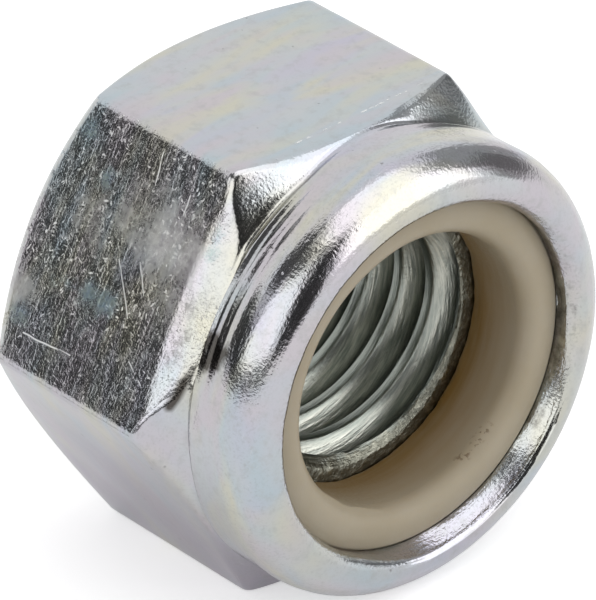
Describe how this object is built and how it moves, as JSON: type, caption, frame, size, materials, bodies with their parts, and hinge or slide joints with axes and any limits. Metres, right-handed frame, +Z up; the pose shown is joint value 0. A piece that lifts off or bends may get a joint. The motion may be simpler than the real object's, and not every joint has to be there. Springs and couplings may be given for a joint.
{
  "type": "hexagon lock nut",
  "caption": "Bright zinc-plated steel hexagon lock nut with a natural nylon locking ring held under a rolled-in round collar, for a wheel or any coarse metric bolt; it lies on a flat.",
  "frame": {"origin": "centre of the bearing face, on the axis of the bore", "axes": "+Y is the bore's axis and leaves through the bearing face, so the collar and the nylon ring face -Y; +Z is up and is the normal of the upper flat, with the nut lying on the opposite flat; +X points at one edge of the hexagon"},
  "size_m": [0.0148, 0.0098, 0.013],
  "materials": {
    "zinc_plate": "bright zinc plate, lightly grained, with a faint iridescent passivation",
    "nylon": "natural nylon, satin"
  },
  "bodies": {
    "root": {"nut_body": "zinc_plate", "nylon_ring": "nylon"}
  },
  "joints": []
}
